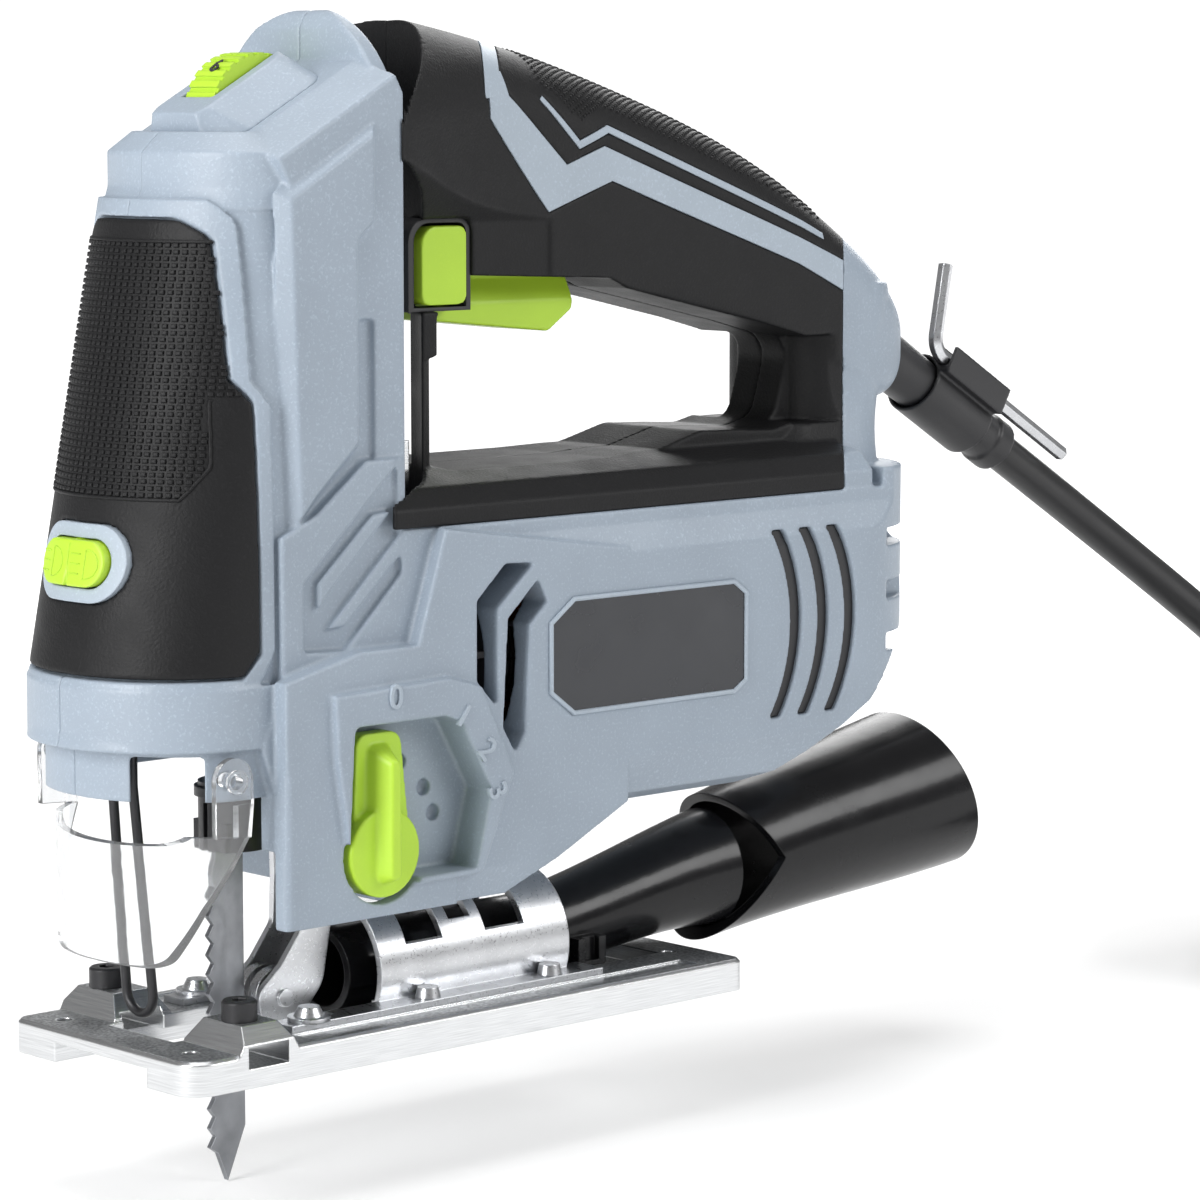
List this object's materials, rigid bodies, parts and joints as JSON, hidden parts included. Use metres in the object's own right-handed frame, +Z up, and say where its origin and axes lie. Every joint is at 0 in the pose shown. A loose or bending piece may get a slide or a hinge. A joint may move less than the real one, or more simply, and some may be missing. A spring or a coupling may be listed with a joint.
{
  "type": "corded jigsaw",
  "caption": "Corded barrel-body jigsaw with a D handle, tilting sole, orbital lever, speed dial, dust pipe, clear guard and fitted wood blade.",
  "frame": {"origin": "centre of the sole's lower face, in the plane of the blade", "axes": "+Z up, -X the cutting direction (front), -Y the tool's left side"},
  "size_m": [0.4594, 0.1204, 0.2382],
  "materials": {
    "grey_plastic": "fine-grained moulded plastic",
    "black_rubber": "moulded soft overmould",
    "accent_plastic": "fine-grained moulded plastic",
    "lime_plastic": "satin moulded plastic",
    "dark_plastic": "satin moulded plastic",
    "badge_plastic": "smooth label plate",
    "gloss_black": "polished moulded plastic",
    "clear_plastic": "clear polycarbonate",
    "cast_aluminium": "die cast, milled on its edges",
    "zinc_steel": "zinc-plated sheet",
    "steel": "ground steel",
    "blade_steel": "ground tool steel",
    "black_oxide": "black oxide",
    "lamination": "stacked steel sheets",
    "copper": "enamelled copper wire",
    "carbon": "pressed carbon",
    "circuit_board": "fibreglass board",
    "lamp_clear": "clear lamp body",
    "fan_plastic": "moulded nylon",
    "bronze": "sintered bronze",
    "cord_pvc": "extruded jacket"
  },
  "bodies": {
    "base": {"housing_left": "grey_plastic", "housing_right": "grey_plastic", "handle_left": "black_rubber", "handle_right": "black_rubber", "stripe_left": "accent_plastic", "stripe_right": "accent_plastic", "accent_lines": "accent_plastic", "front_grip": "black_rubber", "light_bezel": "accent_plastic", "led_lamp": "lamp_clear", "dial_bezel": "grey_plastic", "lock_ring": "dark_plastic", "badge_left": "badge_plastic", "badge_right": "badge_plastic", "housing_screws": "zinc_steel", "switch_body": "dark_plastic", "speed_board": "circuit_board", "stator": "lamination", "stator_windings": "copper", "front_bearing": "steel", "rear_bearing": "steel", "gear_plate": "cast_aluminium", "brush_holders": "zinc_steel", "carbon_brushes": "carbon", "plunger_bushes": "bronze", "fork_pin": "steel", "wire_guard": "black_oxide", "guard_pins": "clear_plastic", "tilt_pad": "cast_aluminium", "bevel_screw": "zinc_steel", "cord_boot": "dark_plastic", "key_clip": "dark_plastic", "cord": "cord_pvc", "cord_coil": "cord_pvc", "plug": "dark_plastic"},
    "trigger": {"trigger": "lime_plastic"},
    "lock_button": {"lock_button": "lime_plastic"},
    "speed_dial": {"speed_dial": "lime_plastic"},
    "light_switch": {"light_switch": "lime_plastic"},
    "selector": {"selector": "lime_plastic"},
    "armature": {"armature_shaft": "steel", "armature_core": "lamination", "armature_coils": "copper", "commutator": "copper", "fan": "fan_plastic"},
    "drive_gear": {"drive_gear": "steel"},
    "plunger": {"plunger": "steel", "blade_holder": "black_oxide", "blade": "blade_steel"},
    "fork": {"guide_fork": "zinc_steel"},
    "roller": {"guide_roller": "steel"},
    "sole": {"sole_plate": "cast_aluminium", "sole_bracket": "zinc_steel", "clamp_bolts": "black_oxide", "sole_screws": "zinc_steel", "dust_pipe": "gloss_black", "dust_adaptor": "gloss_black"},
    "dust_guard": {"dust_guard": "clear_plastic"},
    "hex_key": {"hex_key": "zinc_steel"}
  },
  "joints": [
    {"name": "plunger_slide", "type": "slide", "parent": "base", "child": "plunger", "axis": [0, 0, 1], "range_m": [-0.009, 0.009]},
    {"name": "armature_spin", "type": "hinge", "parent": "base", "child": "armature", "pos_m": [0, 0, 0.077], "axis": [1, 0, 0], "continuous": true},
    {"name": "gear_spin", "type": "hinge", "parent": "base", "child": "drive_gear", "pos_m": [0, 0, 0.1018], "axis": [1, 0, 0], "continuous": true},
    {"name": "trigger_press", "type": "slide", "parent": "base", "child": "trigger", "axis": [0, 0, 1], "range_m": [0, 0.005], "stiffness_N_per_m": 900, "springref_m": -0.003},
    {"name": "lock_press", "type": "slide", "parent": "base", "child": "lock_button", "axis": [0, 1, 0], "range_m": [0, 0.003], "stiffness_N_per_m": 600, "springref_m": -0.002},
    {"name": "dial_turn", "type": "hinge", "parent": "base", "child": "speed_dial", "pos_m": [-0.0364, 0, 0.1902], "axis": [0, 1, 0], "range_deg": [-250, 0]},
    {"name": "light_rock", "type": "hinge", "parent": "base", "child": "light_switch", "pos_m": [-0.078, 0, 0.1033], "axis": [0, 0, 1], "range_deg": [-3, 3]},
    {"name": "selector_turn", "type": "hinge", "parent": "base", "child": "selector", "pos_m": [-0.0295, 0, 0.0435], "axis": [0, 1, 0], "range_deg": [0, 70]},
    {"name": "fork_swing", "type": "hinge", "parent": "base", "child": "fork", "pos_m": [-0.025, 0, 0.047], "axis": [0, 1, 0], "range_deg": [-1.5, 1]},
    {"name": "roller_spin", "type": "hinge", "parent": "fork", "child": "roller", "pos_m": [-0.0332, 0, 0.0103], "axis": [0, 1, 0], "continuous": true},
    {"name": "sole_tilt", "type": "hinge", "parent": "base", "child": "sole", "pos_m": [0, 0, 0.0135], "axis": [1, 0, 0], "range_deg": [-45, 45]},
    {"name": "guard_swing", "type": "hinge", "parent": "base", "child": "dust_guard", "pos_m": [-0.0645, 0, 0.0614], "axis": [0, 1, 0], "range_deg": [0, 25]},
    {"name": "key_out", "type": "slide", "parent": "base", "child": "hex_key", "axis": [0.5075, 0, 0.8616], "range_m": [0, 0.01]}
  ],
  "couplings": [
    {"joint": "gear_spin", "follows": "armature_spin", "ratio": -0.14815}
  ]
}
